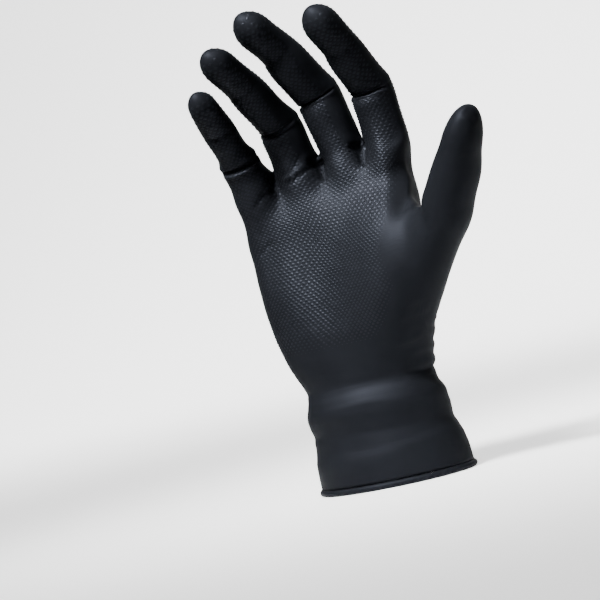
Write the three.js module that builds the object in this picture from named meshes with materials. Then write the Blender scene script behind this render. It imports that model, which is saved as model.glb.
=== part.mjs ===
// Nitrile exam glove for the right hand, one dipped film, hollow, kept in the form of a relaxed open hand.
// Millimetres. +Z runs from the cuff opening to the fingertips, the palm faces -Y, the thumb lies toward +X.
import * as THREE from 'three';

// Film and cuff
const filmWall = 1.2;
const cuffLength = 50;
const openingBreadth = 72;
const openingDepth = 55;
const beadDiameter = 3;
const beadSteps = 6;

// Palm and wrist
const palmLength = 100;
const palmBreadth = 86;
const palmDepth = 30;
const wristBreadth = 62;
const wristDepth = 44;

// Fingers, lengths from the knuckle and widths at the middle joint of the longest finger
const fingerLength = 104;
const fingerWidth = 21.5;
const fingerFlatness = 0.93;
const jointBendLength = 14;
const webDrop = 5;
const webGap = 1.8;
const knuckleRise = 1.6;

// Thumb
const thumbLength = 104;
const thumbWidth = 24;

// Each finger: root of the knuckle in shares of the palm, phalanges in shares of the finger length,
// lean toward the thumb, turn of the palm side and bends of the three joints in degrees
const fingers = [
  { name: 'index', across: 0.355, forward: 0.05, up: 0.823, first: 0.412, second: 0.25, third: 0.23,
    lean: 0, turn: 15.5, knuckleBend: 6.5, middleBend: 33, endBend: 5, web: 0.23 },
  { name: 'middle', across: 0.137, forward: 0.09, up: 0.798, first: 0.47, second: 0.283, third: 0.244,
    lean: -5.9, turn: 18, knuckleBend: 9, middleBend: 30, endBend: 9, web: 0.25 },
  { name: 'ring', across: -0.136, forward: 0.04, up: 0.781, first: 0.394, second: 0.286, third: 0.254,
    lean: -3.7, turn: 10.5, knuckleBend: 12, middleBend: 35, endBend: 8, web: 0.25 },
  { name: 'little', across: -0.344, forward: -0.083, up: 0.704, first: 0.373, second: 0.195, third: 0.22,
    lean: -15, turn: -14, knuckleBend: 21, middleBend: 21, endBend: 5, web: 0.285 },
];

// Widths of each finger in shares of the finger width, at the root, the first phalanx, the middle joint,
// the second phalanx, the end joint, the pad and near the tip
const girths = {
  index: { root: 0.97, first: 0.93, middle: 0.945, second: 0.85, end: 0.805, pad: 0.77, tip: 0.67 },
  middle: { root: 0.97, first: 0.975, middle: 1.0, second: 0.92, end: 0.84, pad: 0.775, tip: 0.69 },
  ring: { root: 0.97, first: 0.955, middle: 0.945, second: 0.82, end: 0.78, pad: 0.72, tip: 0.65 },
  little: { root: 0.9, first: 0.86, middle: 0.84, second: 0.70, end: 0.7, pad: 0.64, tip: 0.56 },
};

// Rings along a finger: bone (1 to 3), share of that bone, the first one counted from the web, which girth
// it takes, and how far the palm side is dented (+) or padded (-) in shares of the width there
const fingerRings = [
  { bone: 1, share: 0.32, girth: 'first', dent: 0.0 },
  { bone: 1, share: 0.68, girth: 'first', dent: -0.03 },
  { bone: 2, share: 0.0, girth: 'middle', dent: 0.06 },
  { bone: 2, share: 0.3, girth: 'second', dent: -0.04 },
  { bone: 2, share: 0.7, girth: 'second', dent: -0.03 },
  { bone: 3, share: 0.0, girth: 'end', dent: 0.04 },
  { bone: 3, share: 0.38, girth: 'pad', dent: -0.02 },
  { bone: 3, share: 0.74, girth: 'tip', dent: 0.0 },
];

// Palm and wrist rings from the wrist crease to just below the webs, in shares of the palm length,
// breadth and depth. front columns: over the thumb muscle, the hollow of the palm, the little-finger side.
// mound brings the palm forward toward the thumb, over the share of the breadth that moundReach says
const palmRings = [
  { up: 0.0, fall: 0, backFall: 0, radial: 0.35, radialMiddle: -0.12, ulnar: -0.385, ulnarMiddle: -0.12,
    thumbFront: 0.66, hollow: 0.66, ulnarFront: 0.66, back: 0.72, fullness: 2, layout: 0.0,
    mound: 0, moundReach: 0.4 },
  { up: 0.12, fall: 0, backFall: 0, radial: 0.38, radialMiddle: -0.22, ulnar: -0.44, ulnarMiddle: -0.16,
    thumbFront: 0.7, hollow: 0.64, ulnarFront: 0.62, back: 0.7, fullness: 2.6, layout: 0.15,
    mound: 0.08, moundReach: 0.5 },
  { up: 0.31, fall: 0.02, backFall: 0.02, radial: 0.475, radialMiddle: -0.42, ulnar: -0.485,
    ulnarMiddle: -0.16, thumbFront: 0.64, hollow: 0.5, ulnarFront: 0.6, back: 0.68, fullness: 4,
    layout: 0.4, mound: 0.28, moundReach: 0.6 },
  { up: 0.5, fall: 0.05, backFall: 0.04, radial: 0.51, radialMiddle: -0.38, ulnar: -0.505, ulnarMiddle: -0.16,
    thumbFront: 0.54, hollow: 0.4, ulnarFront: 0.54, back: 0.65, fullness: 4, layout: 0.65,
    mound: 0.48, moundReach: 0.62 },
  { up: 0.71, fall: 0.1, backFall: 0.07, radial: 0.54, radialMiddle: -0.16, ulnar: -0.51, ulnarMiddle: -0.16,
    thumbFront: 0.42, hollow: 0.4, ulnarFront: 0.46, back: 0.56, fullness: 2.6, layout: 0.85,
    mound: 0.66, moundReach: 0.5 },
  { up: 0.84, fall: 0.13, backFall: 0.1, radial: 0.485, radialMiddle: 0.02, ulnar: -0.515, ulnarMiddle: -0.18,
    thumbFront: 0.4, hollow: 0.42, ulnarFront: 0.42, back: 0.46, fullness: 2.6, layout: 1.0,
    mound: 0.2, moundReach: 0.45 },
];

// Cuff rings from the opening to the wrist: share of the cuff length, blend from opening to wrist size and
// the ripple of the bunched film in shares of the bead
const cuffRings = [
  { up: 0.06, wrist: 0.0, ripple: 0.0 },
  { up: 0.3, wrist: 0.22, ripple: 0.1 },
  { up: 0.52, wrist: 0.52, ripple: -0.2 },
  { up: 0.7, wrist: 0.78, ripple: 0.4 },
  { up: 0.86, wrist: 0.96, ripple: -0.1 },
];

// Thumb joints in shares of the thumb length, with the lean of each bone outward and forward in degrees.
// Rings as on the fingers; reach tips a ring so that its web side lies further along the thumb
const thumb = {
  across: 0.28, forward: 0.333, up: 0.14,
  bones: [
    { length: 0.455, outward: 36, forward: 16 },
    { length: 0.35, outward: 33, forward: 16 },
    { length: 0.28, outward: 31, forward: 20 },
  ],
};
const thumbRings = [
  { bone: 2, share: 0.08, width: 1.0, depth: 1.08, reach: 0.55 },
  { bone: 2, share: 0.38, width: 0.96, depth: 1.0, reach: 0.2 },
  { bone: 2, share: 0.68, width: 0.91, depth: 0.96, reach: 0.05 },
  { bone: 3, share: 0.0, width: 0.88, depth: 0.95, reach: 0 },
  { bone: 3, share: 0.3, width: 0.74, depth: 0.9, reach: 0 },
  { bone: 3, share: 0.6, width: 0.66, depth: 0.82, reach: 0 },
  { bone: 3, share: 0.87, width: 0.42, depth: 0.58, reach: 0 },
];

const radians = Math.PI / 180;
const frontCount = 12;
const ringCount = 26;
const ringCountBelowHole = 1;
const holeRingCount = 4;
const moundColumns = 7;

function vector(x, y, z) {
  return new THREE.Vector3(x, y, z);
}

function smooth(value) {
  const share = Math.min(1, Math.max(0, value));
  return share * share * (3 - 2 * share);
}

// Centre line of a finger, bent smoothly at its three joints, in the plane set by its lean and turn
function fingerPath(finger) {
  const lean = finger.lean * radians;
  const turn = finger.turn * radians;
  const along = vector(Math.sin(lean), 0, Math.cos(lean));
  const palmward = vector(-Math.sin(turn), -Math.cos(turn), 0);
  palmward.addScaledVector(along, -palmward.dot(along)).normalize();
  const joints = [0, finger.first * fingerLength, (finger.first + finger.second) * fingerLength];
  const bends = [finger.knuckleBend * radians, finger.middleBend * radians, finger.endBend * radians];
  const total = (finger.first + finger.second + finger.third) * fingerLength;
  const root = vector(finger.across * palmBreadth, finger.forward * palmDepth,
    cuffLength + finger.up * palmLength);
  const steps = 200;
  const points = [root];
  const bendAt = (distance) => joints.reduce((sum, joint, index) =>
    sum + bends[index] * smooth((distance - joint) / jointBendLength + 0.5), 0);
  for (let step = 0; step < steps; step += 1) {
    const bend = bendAt((step + 0.5) * total / steps);
    const next = points[step].clone();
    next.addScaledVector(along, Math.cos(bend) * total / steps);
    next.addScaledVector(palmward, Math.sin(bend) * total / steps);
    points.push(next);
  }
  function frameAt(distance) {
    const place = Math.min(steps, Math.max(0, distance / total * steps));
    const low = Math.min(steps - 1, Math.floor(place));
    const bend = bendAt(distance);
    const centre = points[low].clone().lerp(points[low + 1], place - low);
    const onward = along.clone().multiplyScalar(Math.cos(bend)).addScaledVector(palmward, Math.sin(bend));
    const palmSide = palmward.clone().multiplyScalar(Math.cos(bend)).addScaledVector(along, -Math.sin(bend));
    const across = onward.clone().cross(palmSide).normalize();
    return { centre, onward, palmSide, across };
  }
  return { joints, total, frameAt };
}

// Eight points round a finger: thumb-side front corner, front, far front corner, far side, and so on round
const ringAngles = [45, 90, 135, 180, 225, 270, 315, 0];
const webAngles = [30, 90, 150, 180, 210, 270, 330, 0];

function fingerRing(path, distance, width, dent, angles = ringAngles) {
  const frame = path.frameAt(distance);
  return angles.map((angle) => {
    const side = Math.cos(angle * radians) * width / 2;
    let front = Math.sin(angle * radians) * width / 2 * fingerFlatness;
    if (front > 0) {
      front -= dent * width * Math.sin(angle * radians);
    }
    return frame.centre.clone().addScaledVector(frame.across, side).addScaledVector(frame.palmSide, front);
  });
}

// The cage collects points and four-sided faces
const cage = { points: [], faces: [] };

function addPoint(point) {
  cage.points.push(point);
  return cage.points.length - 1;
}

function joinRings(lower, upper, skip) {
  for (let index = 0; index < lower.length; index += 1) {
    const next = (index + 1) % lower.length;
    if (skip && skip(index)) {
      continue;
    }
    cage.faces.push([lower[next], lower[index], upper[index], upper[next]]);
  }
}

function halfwayRing(from, to, share) {
  return from.map((point, index) => addPoint(cage.points[point].clone().lerp(cage.points[to[index]], share)));
}

function closeTip(ring, centre) {
  const middle = addPoint(centre);
  for (let index = 0; index < ring.length; index += 2) {
    const last = (index + 2) % ring.length;
    cage.faces.push([middle, ring[last], ring[index + 1], ring[index]]);
  }
}

// Shares across the palm of the twelve front points: spread by the fingers at the knuckles, evenly round
// the section at the wrist
function acrossShares(layout) {
  const shares = [];
  for (let index = 0; index < frontCount; index += 1) {
    const finger = Math.floor(index / 3);
    const place = [0.17, 0.5, 0.83][index % 3];
    const byFinger = 0.03 + 0.94 * (finger + place) / 4;
    const round = (1 - Math.cos(Math.PI * (index + 1) / (frontCount + 1))) / 2;
    shares.push(round + (byFinger - round) * layout);
  }
  return shares;
}

function blendFront(share, ring) {
  const stops = [ring.thumbFront, ring.hollow, ring.ulnarFront];
  const places = [0.24, 0.55, 0.84];
  if (share <= places[0]) {
    return stops[0];
  }
  if (share >= places[2]) {
    return stops[2];
  }
  const part = share < places[1] ? 0 : 1;
  const local = smooth((share - places[part]) / (places[part + 1] - places[part]));
  return stops[part] + (stops[part + 1] - stops[part]) * local;
}

function edgeRound(share, power) {
  const reach = Math.abs(2 * share - 1);
  return Math.pow(Math.max(0, 1 - Math.pow(reach, power)), 1 / power);
}

function palmRing(ring) {
  const shares = acrossShares(ring.layout);
  function pointAt(share, depth) {
    const power = depth < 0 && share < 0.5 ? ring.fullness : 2 + 0.6 * ring.layout;
    const forward = depth > 0 ? 0 : ring.mound * smooth(1.05 - share / ring.moundReach);
    const middle = ring.radialMiddle + (ring.ulnarMiddle - ring.radialMiddle) * share - forward;
    const backward = depth > 0 ? 1 : 0.3;
    return vector(
      (ring.radial + (ring.ulnar - ring.radial) * share) * palmBreadth,
      (middle + depth * edgeRound(share, power)) * palmDepth,
      cuffLength + (ring.up - ring.fall * share * share - ring.backFall * backward) * palmLength);
  }
  const front = shares.map((share) => pointAt(share, -blendFront(share, ring)));
  const back = [...shares].reverse().map((share) => pointAt(share, ring.back));
  return [...front, pointAt(1, 0), ...back, pointAt(0, 0)];
}

function cuffRing(ring, wrist) {
  const halfBreadth = (openingBreadth + (wristBreadth - openingBreadth) * ring.wrist) / 2;
  const halfDepth = (openingDepth + (wristDepth - openingDepth) * ring.wrist) / 2;
  const centre = wrist.centre.clone().multiplyScalar(ring.wrist);
  const ripple = ring.ripple * beadDiameter;
  return wrist.angles.map((angle) => vector(
    centre.x + Math.cos(angle) * (halfBreadth + ripple),
    centre.y - Math.sin(angle) * (halfDepth + ripple),
    ring.up * cuffLength));
}

// Palm rings, then the wrist gives the angles of the cuff rings
const palmPoints = palmRings.map(palmRing);
const wristPoints = palmPoints[0];
const wristCentre = vector((palmRings[0].radial + palmRings[0].ulnar) / 2 * palmBreadth,
  palmRings[0].radialMiddle * palmDepth, 0);
const wristAngles = wristPoints.map((point) =>
  Math.atan2(wristCentre.y - point.y, point.x - wristCentre.x));
const cuffPoints = cuffRings.map((ring) => cuffRing(ring, { centre: wristCentre, angles: wristAngles }));
const trunk = [...cuffPoints, ...palmPoints].map((ring) => ring.map(addPoint));

const wristIndex = cuffPoints.length;
const thumbHole = (index) => index === ringCount - 1 || index === ringCount - 2;
for (let row = 0; row + 1 < trunk.length; row += 1) {
  const palmRow = row - wristIndex;
  const open = palmRow >= ringCountBelowHole && palmRow + 1 < ringCountBelowHole + holeRingCount;
  joinRings(trunk[row], trunk[row + 1], open ? thumbHole : null);
}

// Finger roots: front corners at the web, sides lower, back corners lowest, all sharing the palm's last ring
const topRing = trunk[trunk.length - 1];
const webRing = new Array(ringCount);
const roots = [];
fingers.forEach((finger, order) => {
  const path = fingerPath(finger);
  const girth = girths[finger.name];
  const width = girth.root * fingerWidth;
  const web = finger.web * fingerLength;
  const angles = ringAngles.map((angle, index) => {
    const outer = (order === 0 && index % 6 === 0) || (order === fingers.length - 1 && index % 6 > 1);
    return outer ? angle : webAngles[index];
  });
  const points = fingerRing(path, web, width, 0, angles);
  const frame = path.frameAt(web);
  const drops = [0.9, 0.5, 0.9, 0.4, 1.3, 1.3, 1.3, 0.4];
  points.forEach((point, index) => point.addScaledVector(frame.onward, -drops[index] * webDrop));
  const ring = points.map(addPoint);
  const front = order * 3;
  [0, 1, 2].forEach((index) => {
    webRing[front + index] = ring[index];
    webRing[ringCount - 2 - front - index] = ring[6 - index];
  });
  if (order === 0) {
    webRing[ringCount - 1] = ring[7];
  }
  if (order === fingers.length - 1) {
    webRing[frontCount] = ring[3];
  }
  roots.push({ finger, path, girth, ring, web, centre: frame.centre });
});
const knuckleRings = [0.4, 0.74].map((share) => halfwayRing(topRing, webRing, share));
for (const knuckleRing of knuckleRings) {
  knuckleRing.slice(frontCount + 1, ringCount - 1).forEach((point, index) => {
    cage.points[point].y += index % 3 === 1 ? knuckleRise : 0;
  });
}
joinRings(topRing, knuckleRings[0], null);
joinRings(knuckleRings[0], knuckleRings[1], null);
joinRings(knuckleRings[1], webRing, null);

// The facing sides of neighbouring fingers come together at the web
for (let order = 0; order + 1 < roots.length; order += 1) {
  const near = roots[order].ring;
  const far = roots[order + 1].ring;
  const apart = roots[order].centre.clone().sub(roots[order + 1].centre).setZ(0).setLength(webGap / 2);
  const middle = cage.points[near[3]].clone().add(cage.points[far[7]]).multiplyScalar(0.5);
  cage.points[near[3]].copy(middle).add(apart);
  cage.points[far[7]].copy(middle).sub(apart);
  cage.faces.push([far[0], near[2], near[3], far[7]]);
  cage.faces.push([far[7], near[3], near[4], far[6]]);
}

// Finger stalls
for (const { path, girth, ring, web } of roots) {
  let below = ring;
  const starts = [web, path.joints[1], path.joints[2], path.total];
  for (const row of fingerRings) {
    const distance = starts[row.bone - 1] + row.share * (starts[row.bone] - starts[row.bone - 1]);
    const above = fingerRing(path, distance, girth[row.girth] * fingerWidth, row.dent).map(addPoint);
    joinRings(below, above, null);
    below = above;
  }
  closeTip(below, path.frameAt(path.total).centre);
}

// Thumb stall, its first ring is the rim of the opening left in the thumb side of the palm
const holeStart = wristIndex + ringCountBelowHole;
const holeRows = trunk.slice(holeStart, holeStart + holeRingCount);
const fronts = holeRows.map((ring) => ring[0]);
const backs = holeRows.map((ring) => ring[ringCount - 2]);
const edges = [holeRows[holeRingCount - 1], holeRows[0]].map((ring) => ring[ringCount - 1]);
const thumbRoot = [...fronts, edges[0], ...backs.reverse(), edges[1]];
const thumbJoints = [vector(thumb.across * palmBreadth, -thumb.forward * palmDepth,
  cuffLength + thumb.up * palmLength)];
const thumbAlong = thumb.bones.map((bone) => {
  const outward = bone.outward * radians;
  const forward = bone.forward * radians;
  return vector(
    Math.sin(outward) * Math.cos(forward),
    -Math.sin(forward),
    Math.cos(outward) * Math.cos(forward));
});
thumb.bones.forEach((bone, index) => {
  thumbJoints.push(thumbJoints[index].clone().addScaledVector(thumbAlong[index], bone.length * thumbLength));
});
let below = thumbRoot;
let thumbBase = null;
let thumbStart = null;
for (const row of thumbRings) {
  const index = row.bone - 1;
  const centre = thumbJoints[index].clone().lerp(thumbJoints[index + 1], row.share);
  const before = thumbAlong[Math.max(0, index - 1)];
  const onward = before.clone().lerp(thumbAlong[index], Math.min(1, 0.5 + row.share)).normalize();
  const palmward = vector(0, -1, 0).addScaledVector(onward, onward.y).normalize();
  const webward = onward.clone().cross(palmward).negate();
  const above = thumbRoot.map((unused, step) => {
    const angle = (144 - 36 * step) * radians;
    return centre.clone()
      .addScaledVector(webward, Math.cos(angle) * row.width * thumbWidth / 2)
      .addScaledVector(palmward, Math.sin(angle) * row.depth * thumbWidth / 2)
      .addScaledVector(onward, (1 + Math.cos(angle)) / 2 * row.reach * thumbWidth);
  }).map(addPoint);
  if (!thumbBase) {
    thumbBase = halfwayRing(thumbRoot, above, 0.5);
    joinRings(below, thumbBase, null);
    below = thumbBase;
  }
  joinRings(below, above, null);
  below = above;
  thumbStart = thumbStart || above;
}
closeTip(below, thumbJoints[3]);

// Neighbours of each point: along edges, across faces, and whether it lies on the open edge
function neighbours(mesh) {
  const around = mesh.points.map(() => ({ edges: new Set(), corners: [], faces: [], border: [] }));
  const edgeFaces = new Map();
  mesh.faces.forEach((face, faceIndex) => {
    face.forEach((point, index) => {
      const next = face[(index + 1) % 4];
      around[point].edges.add(next);
      around[next].edges.add(point);
      around[point].corners.push(face[(index + 2) % 4]);
      around[point].faces.push(faceIndex);
      const key = Math.min(point, next) * 65536 + Math.max(point, next);
      edgeFaces.set(key, [...(edgeFaces.get(key) || []), faceIndex]);
    });
  });
  for (const [key, list] of edgeFaces) {
    if (list.length === 1) {
      const low = Math.floor(key / 65536);
      const high = key % 65536;
      around[low].border.push(high);
      around[high].border.push(low);
    }
  }
  return { around, edgeFaces };
}

function sumOf(points, list) {
  const sum = vector(0, 0, 0);
  for (const index of list) {
    sum.add(points[index]);
  }
  return sum;
}

// Where each point of a smooth four-sided surface finally comes to lie
function limitPoints(mesh, around) {
  return mesh.points.map((point, index) => {
    const near = around[index];
    if (near.border.length) {
      return point.clone().multiplyScalar(4).add(sumOf(mesh.points, near.border)).divideScalar(6);
    }
    const count = near.edges.size;
    return point.clone().multiplyScalar(count * count)
      .addScaledVector(sumOf(mesh.points, near.edges), 4)
      .add(sumOf(mesh.points, near.corners))
      .divideScalar(count * (count + 5));
  });
}

// Moves the cage outward until the smooth surface passes through the points it was given
function passThrough(mesh, rounds) {
  const wanted = mesh.points.map((point) => point.clone());
  const { around } = neighbours(mesh);
  for (let round = 0; round < rounds; round += 1) {
    const limits = limitPoints(mesh, around);
    mesh.points.forEach((point, index) => point.add(wanted[index]).sub(limits[index]));
  }
}

function subdivide(mesh) {
  const { around, edgeFaces } = neighbours(mesh);
  const points = mesh.points.map((point, index) => {
    const near = around[index];
    if (near.border.length) {
      return point.clone().multiplyScalar(6).add(sumOf(mesh.points, near.border)).divideScalar(8);
    }
    const count = near.edges.size;
    const faceSum = vector(0, 0, 0);
    for (const face of near.faces) {
      faceSum.addScaledVector(sumOf(mesh.points, mesh.faces[face]), 0.25);
    }
    const edgeSum = sumOf(mesh.points, near.edges).addScaledVector(point, count).multiplyScalar(0.5);
    return faceSum.divideScalar(count).addScaledVector(edgeSum.divideScalar(count), 2)
      .addScaledVector(point, count - 3).divideScalar(count);
  });
  const facePoints = mesh.faces.map((face) => {
    points.push(sumOf(mesh.points, face).multiplyScalar(0.25));
    return points.length - 1;
  });
  const edgePoints = new Map();
  for (const [key, list] of edgeFaces) {
    const ends = [Math.floor(key / 65536), key % 65536];
    const sum = sumOf(mesh.points, ends);
    if (list.length === 2) {
      sum.add(points[facePoints[list[0]]]).add(points[facePoints[list[1]]]).multiplyScalar(0.5);
    }
    points.push(sum.multiplyScalar(0.5));
    edgePoints.set(key, points.length - 1);
  }
  const edgePoint = (a, b) => edgePoints.get(Math.min(a, b) * 65536 + Math.max(a, b));
  const faces = [];
  mesh.faces.forEach((face, faceIndex) => {
    face.forEach((point, index) => {
      const next = face[(index + 1) % 4];
      const last = face[(index + 3) % 4];
      faces.push([point, edgePoint(point, next), facePoints[faceIndex], edgePoint(last, point)]);
    });
  });
  return { points, faces };
}

function normalsOf(mesh) {
  const normals = mesh.points.map(() => vector(0, 0, 0));
  for (const face of mesh.faces) {
    const [a, b, c, d] = face.map((index) => mesh.points[index]);
    const normal = c.clone().sub(a).cross(d.clone().sub(b));
    face.forEach((index) => normals[index].add(normal));
  }
  return normals.map((normal) => normal.normalize());
}

// Evens out the places where a stall runs into the palm
function relax(mesh, places, rounds) {
  const { around } = neighbours(mesh);
  for (let round = 0; round < rounds; round += 1) {
    const moved = places.map((index) => {
      const near = around[index];
      return sumOf(mesh.points, near.edges).divideScalar(near.edges.size).lerp(mesh.points[index], 0.5);
    });
    places.forEach((index, order) => mesh.points[index].copy(moved[order]));
  }
}

const mound = holeRows.flatMap((ring) => ring.slice(0, moundColumns));
relax(cage, [...new Set([...mound, ...thumbRoot, ...thumbBase, ...thumbStart])], 4);
relax(cage, knuckleRings[0], 1);

// How far a point must move inward for the faces round it to move in by one wall
function inwardStep(mesh, normals) {
  const leasts = mesh.points.map(() => 1);
  for (const face of mesh.faces) {
    const [a, b, c, d] = face.map((index) => mesh.points[index]);
    const normal = c.clone().sub(a).cross(d.clone().sub(b)).normalize();
    face.forEach((index) => {
      leasts[index] = Math.min(leasts[index], normal.dot(normals[index]));
    });
  }
  return leasts.map((least) => filmWall / Math.max(0.7, least));
}

passThrough(cage, 8);
const film = subdivide(cage);
film.points = limitPoints(film, neighbours(film).around);
const filmNormals = normalsOf(film);
const filmSteps = inwardStep(film, filmNormals);

// Outer skin, inner skin one wall inside it, and the rolled bead between their open edges
const vertices = film.points.map((point) => point.clone());
const offset = vertices.length;
film.points.forEach((point, index) => {
  vertices.push(point.clone().addScaledVector(filmNormals[index], -filmSteps[index]));
});
const triangles = [];
function addQuad(a, b, c, d) {
  triangles.push([a, b, c], [a, c, d]);
}
for (const [a, b, c, d] of film.faces) {
  addQuad(a, b, c, d);
  addQuad(d + offset, c + offset, b + offset, a + offset);
}

// Walks the open edge of the film once round
function openEdge(mesh) {
  const { around } = neighbours(mesh);
  const start = around.findIndex((near) => near.border.length > 0);
  const loop = [start];
  let previous = -1;
  let current = start;
  do {
    const next = around[current].border.find((index) => index !== previous);
    previous = current;
    current = next;
    loop.push(current);
  } while (current !== start);
  loop.pop();
  return loop;
}

const edgeLoop = openEdge(film);
const beadRadius = beadDiameter / 2;
const beadLoops = [edgeLoop];
for (let step = 1; step < beadSteps; step += 1) {
  const angle = Math.PI * (0.75 - 1.5 * step / beadSteps);
  beadLoops.push(edgeLoop.map((index) => {
    const edge = vertices[index];
    const outward = vector(filmNormals[index].x, filmNormals[index].y, 0).normalize();
    const point = edge.clone().addScaledVector(outward, beadRadius * (Math.cos(angle) + 0.1));
    point.z = beadRadius + beadRadius * Math.sin(angle);
    vertices.push(point);
    return vertices.length - 1;
  }));
}
beadLoops.push(edgeLoop.map((index) => index + offset));
for (let step = 0; step + 1 < beadLoops.length; step += 1) {
  const upper = beadLoops[step];
  const lower = beadLoops[step + 1];
  for (let index = 0; index < edgeLoop.length; index += 1) {
    const next = (index + 1) % edgeLoop.length;
    addQuad(upper[index], upper[next], lower[next], lower[index]);
  }
}

const glove = new THREE.Group();
const positions = new Float32Array(triangles.flat().flatMap((index) => vertices[index].toArray()));
const geometry = new THREE.BufferGeometry();
geometry.setAttribute('position', new THREE.BufferAttribute(positions, 3));
const material = new THREE.MeshStandardMaterial({ color: 0x17191d, roughness: 0.55, metalness: 0 });
const shell = new THREE.Mesh(geometry, material);
shell.name = 'glove_shell';
glove.add(shell);

export default glove;
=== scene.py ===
import math

import bmesh
import bpy
import numpy as np
from mathutils import Matrix, Vector, noise
from mathutils.bvhtree import BVHTree
from mathutils.kdtree import KDTree


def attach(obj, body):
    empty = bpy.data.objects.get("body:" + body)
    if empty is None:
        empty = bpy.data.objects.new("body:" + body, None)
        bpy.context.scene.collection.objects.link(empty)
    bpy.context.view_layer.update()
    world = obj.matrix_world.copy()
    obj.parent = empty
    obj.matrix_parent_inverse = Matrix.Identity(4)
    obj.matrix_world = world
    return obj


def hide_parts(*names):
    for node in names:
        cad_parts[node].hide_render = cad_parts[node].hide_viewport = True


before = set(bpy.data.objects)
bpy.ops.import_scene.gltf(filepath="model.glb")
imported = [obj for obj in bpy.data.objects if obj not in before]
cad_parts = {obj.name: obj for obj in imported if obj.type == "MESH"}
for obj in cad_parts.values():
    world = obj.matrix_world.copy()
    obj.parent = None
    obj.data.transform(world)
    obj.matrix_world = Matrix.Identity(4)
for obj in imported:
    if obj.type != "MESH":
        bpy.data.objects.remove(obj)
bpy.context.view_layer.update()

mm = 0.001
noise.seed_set(7)
random = np.random.default_rng(7)

# The worn form, in millimetres: the same sizes as the solid part
form = {
    "cuffLength": 50, "openingBreadth": 72, "openingDepth": 55, "beadDiameter": 3,
    "palmLength": 100, "palmBreadth": 86, "palmDepth": 30, "wristBreadth": 62, "wristDepth": 44,
    "fingerLength": 104, "fingerWidth": 21.5, "fingerFlatness": 0.93, "jointBendLength": 14,
    "webDrop": 5, "webGap": 1.8, "knuckleRise": 1.6, "thumbLength": 104, "thumbWidth": 24,
}

# Root of each finger in shares of the palm, bones in shares of the finger length, angles in degrees
fingers = [
    {"name": "index", "across": 0.355, "forward": 0.05, "up": 0.823, "bones": (0.412, 0.25, 0.23),
     "lean": 0, "turn": 15.5, "bends": (6.5, 33, 5), "web": 0.23,
     "girths": {"root": 0.97, "first": 0.93, "middle": 0.945, "second": 0.85, "end": 0.805,
                "pad": 0.77, "tip": 0.67}},
    {"name": "middle", "across": 0.137, "forward": 0.09, "up": 0.798, "bones": (0.47, 0.283, 0.244),
     "lean": -5.9, "turn": 18, "bends": (9, 30, 9), "web": 0.25,
     "girths": {"root": 0.97, "first": 0.975, "middle": 1.0, "second": 0.92, "end": 0.84,
                "pad": 0.775, "tip": 0.69}},
    {"name": "ring", "across": -0.136, "forward": 0.04, "up": 0.781, "bones": (0.394, 0.286, 0.254),
     "lean": -3.7, "turn": 10.5, "bends": (12, 35, 8), "web": 0.25,
     "girths": {"root": 0.97, "first": 0.955, "middle": 0.945, "second": 0.82, "end": 0.78,
                "pad": 0.72, "tip": 0.65}},
    {"name": "little", "across": -0.344, "forward": -0.083, "up": 0.704, "bones": (0.373, 0.195, 0.22),
     "lean": -15, "turn": -14, "bends": (21, 21, 5), "web": 0.285,
     "girths": {"root": 0.9, "first": 0.86, "middle": 0.84, "second": 0.7, "end": 0.7,
                "pad": 0.64, "tip": 0.56}},
]

# Rings along a finger: bone, share of that bone (the first from the web on), millimetres past it,
# girth, dent of the palm side
fingerRings = [
    (1, 0.32, 0, "first", 0.0), (1, 0.68, 0, "first", -0.03),
    (2, 0.0, -1.7, "middle", 0.045), (2, 0.0, 0, "middle", 0.06), (2, 0.0, 1.7, "middle", 0.045),
    (2, 0.3, 0, "second", -0.04), (2, 0.7, 0, "second", -0.03), (3, 0.0, 0, "end", 0.04),
    (3, 0.38, 0, "pad", -0.02), (3, 0.74, 0, "tip", 0.0),
]

# Palm rings from the wrist up: height and falls, side places, depths in front and behind
palmNames = ("up", "fall", "backFall", "radial", "radialMiddle", "ulnar", "ulnarMiddle",
             "thumbFront", "hollow", "ulnarFront", "back", "fullness", "layout", "mound", "moundReach")
palmRings = [dict(zip(palmNames, row)) for row in [
    (0.0, 0, 0, 0.35, -0.12, -0.385, -0.12, 0.66, 0.66, 0.66, 0.72, 2, 0.0, 0.0, 0.4),
    (0.12, 0, 0, 0.38, -0.22, -0.44, -0.16, 0.7, 0.64, 0.62, 0.7, 2.6, 0.15, 0.08, 0.5),
    (0.31, 0.02, 0.02, 0.475, -0.42, -0.485, -0.16, 0.64, 0.5, 0.6, 0.68, 4, 0.4, 0.28, 0.6),
    (0.5, 0.05, 0.04, 0.51, -0.38, -0.505, -0.16, 0.54, 0.4, 0.54, 0.65, 4, 0.65, 0.48, 0.62),
    (0.71, 0.1, 0.07, 0.54, -0.16, -0.51, -0.16, 0.42, 0.4, 0.46, 0.56, 2.6, 0.85, 0.66, 0.5),
    (0.84, 0.13, 0.1, 0.485, 0.02, -0.515, -0.18, 0.4, 0.42, 0.42, 0.46, 2.6, 1.0, 0.2, 0.45),
]]

# Cuff rings: share of the cuff length, blend from opening to wrist, ripple in shares of the bead
cuffRings = [(0.06, 0.0, 0.0), (0.3, 0.22, 0.1), (0.52, 0.52, -0.2), (0.7, 0.78, 0.4), (0.86, 0.96, -0.1)]

# Thumb bones: share of the thumb length, lean outward and forward in degrees
thumbRoot = {"across": 0.28, "forward": 0.333, "up": 0.14}
thumbBones = [(0.455, 36, 16), (0.35, 33, 16), (0.28, 31, 20)]
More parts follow.
